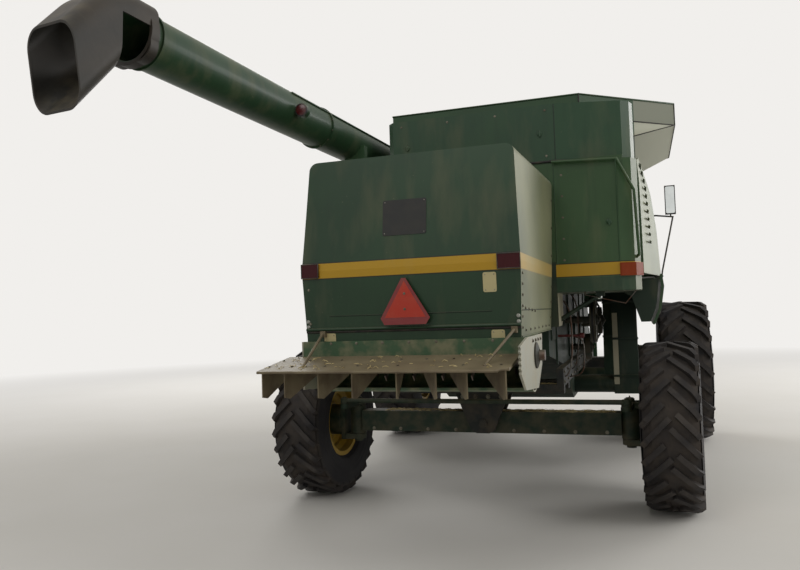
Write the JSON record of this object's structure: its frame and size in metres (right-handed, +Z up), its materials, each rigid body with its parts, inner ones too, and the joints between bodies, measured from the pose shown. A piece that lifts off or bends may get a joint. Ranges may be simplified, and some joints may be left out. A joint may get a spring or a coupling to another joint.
{
  "type": "combine harvester",
  "caption": "Self-propelled combine harvester with grain tank, folded unloading auger, straw hood over a chopper, cab and feeder house, with no header fitted.",
  "frame": {"origin": "on the ground at the middle of the object's box", "axes": "+Y forward, towards the feeder house; +X to the machine's right; +Z up from the ground"},
  "size_m": [4.482, 8.844, 3.913],
  "materials": {
    "green_paint": "gloss",
    "yellow_paint": "gloss",
    "pale_paint": "satin",
    "black_paint": "satin",
    "bare_steel": "satin",
    "rod_chrome": "polished",
    "casting": "matt",
    "tread_rubber": "matt",
    "window_glass": "clear",
    "lamp_plastic": "gloss",
    "reflective_plastic": "gloss",
    "black_plastic": "matt"
  },
  "bodies": {
    "chassis": {"front_axle": "black_paint", "rear_axle": "black_paint", "chassis_frame": "black_paint", "separator_body": "green_paint", "straw_hood": "green_paint", "chopper_housing": "green_paint", "tailboard": "pale_paint", "rear_lamps": "lamp_plastic", "slow_vehicle_triangle": "reflective_plastic", "engine_block": "casting", "engine_cover": "green_paint", "side_panels": "green_paint", "grain_tank": "green_paint", "tank_extension": "green_paint", "elevators": "green_paint", "side_drives": "yellow_paint", "auger_turret": "green_paint", "cab_frame": "green_paint", "cab_roof": "green_paint", "cab_glass": "window_glass", "driver_station": "black_plastic", "access_ladder": "black_paint", "mirrors": "black_plastic"},
    "front_wheel_left": {"front_tyre_left": "tread_rubber", "front_rim_left": "yellow_paint"},
    "front_wheel_right": {"front_tyre_right": "tread_rubber", "front_rim_right": "yellow_paint"},
    "knuckle_left": {"knuckle_left": "black_paint"},
    "knuckle_right": {"knuckle_right": "black_paint"},
    "rear_wheel_left": {"rear_tyre_left": "tread_rubber", "rear_rim_left": "yellow_paint"},
    "rear_wheel_right": {"rear_tyre_right": "tread_rubber", "rear_rim_right": "yellow_paint"},
    "tie_rod": {"tie_rod": "black_paint"},
    "chopper_rotor": {"chopper_rotor": "bare_steel"},
    "auger": {"auger_tube": "green_paint", "auger_spout": "black_paint"},
    "feeder": {"feeder_house": "green_paint", "feeder_conveyor": "bare_steel"},
    "lift_barrels": {"lift_barrels": "black_paint"},
    "lift_rods": {"lift_rods": "rod_chrome"},
    "cab_door": {"cab_door": "green_paint", "cab_door_glass": "window_glass"},
    "side_shield_left": {"side_shield_left": "green_paint"},
    "side_shield_right": {"side_shield_right": "green_paint"}
  },
  "joints": [
    {"name": "front_wheel_left_spin", "type": "hinge", "parent": "chassis", "child": "front_wheel_left", "pos_m": [-1.93, 2.602, 0.905], "axis": [1, 0, 0], "continuous": true},
    {"name": "front_wheel_right_spin", "type": "hinge", "parent": "chassis", "child": "front_wheel_right", "pos_m": [1.93, 2.602, 0.905], "axis": [1, 0, 0], "continuous": true},
    {"name": "steer_right", "type": "hinge", "parent": "chassis", "child": "knuckle_right", "pos_m": [1.3, -0.998, 0.735], "axis": [0, 0, 1], "range_deg": [-28.5, 35.5]},
    {"name": "steer_left", "type": "hinge", "parent": "chassis", "child": "knuckle_left", "pos_m": [-1.3, -0.998, 0.735], "axis": [0, 0, 1], "range_deg": [-28.5, 35.5]},
    {"name": "rear_wheel_left_spin", "type": "hinge", "parent": "knuckle_left", "child": "rear_wheel_left", "pos_m": [-1.64935, -0.97663, 0.725], "axis": [0.9981, -0.061, 0], "continuous": true},
    {"name": "rear_wheel_right_spin", "type": "hinge", "parent": "knuckle_right", "child": "rear_wheel_right", "pos_m": [1.64935, -1.01937, 0.725], "axis": [0.9981, -0.061, 0], "continuous": true},
    {"name": "tie_rod_pivot", "type": "hinge", "parent": "knuckle_right", "child": "tie_rod", "pos_m": [1.28169, -1.29744, 0.953], "axis": [0, 0, 1], "range_deg": [-35.5, 28.5]},
    {"name": "chopper_spin", "type": "hinge", "parent": "chassis", "child": "chopper_rotor", "pos_m": [0, -2.978, 1.47], "axis": [1, 0, 0], "continuous": true},
    {"name": "auger_swing", "type": "hinge", "parent": "chassis", "child": "auger", "pos_m": [-1.2, 1.002, 3.49], "axis": [0, 0, -1], "range_deg": [0, 90]},
    {"name": "feeder_tilt", "type": "hinge", "parent": "chassis", "child": "feeder", "pos_m": [0, 3.102, 1.64], "axis": [1, 0, 0], "range_deg": [-8, 14]},
    {"name": "lift_barrel_pivot", "type": "hinge", "parent": "chassis", "child": "lift_barrels", "pos_m": [0, 2.777, 0.85], "axis": [1, 0, 0], "range_deg": [-6.2, 10.8]},
    {"name": "lift_rod_slide", "type": "slide", "parent": "lift_barrels", "child": "lift_rods", "axis": [0, 0.9957, -0.0929], "range_m": [-0.114, 0.198]},
    {"name": "cab_door_hinge", "type": "hinge", "parent": "chassis", "child": "cab_door", "pos_m": [-0.862, 2.602, 2.76], "axis": [0, 0, 1], "range_deg": [0, 85]},
    {"name": "side_shield_left_hinge", "type": "hinge", "parent": "chassis", "child": "side_shield_left", "pos_m": [-1.62, 0.227, 2.022], "axis": [0, 1, 0], "range_deg": [0, 75]},
    {"name": "side_shield_right_hinge", "type": "hinge", "parent": "chassis", "child": "side_shield_right", "pos_m": [1.62, 0.227, 2.022], "axis": [0, -1, 0], "range_deg": [0, 75]}
  ],
  "couplings": [
    {"joint": "steer_left", "follows": "steer_right", "ratio": 1},
    {"joint": "tie_rod_pivot", "follows": "steer_right", "ratio": -1},
    {"joint": "lift_barrel_pivot", "follows": "feeder_tilt", "ratio": 0.76},
    {"joint": "lift_rod_slide", "follows": "feeder_tilt", "m_per_rad": 0.8021}
  ]
}
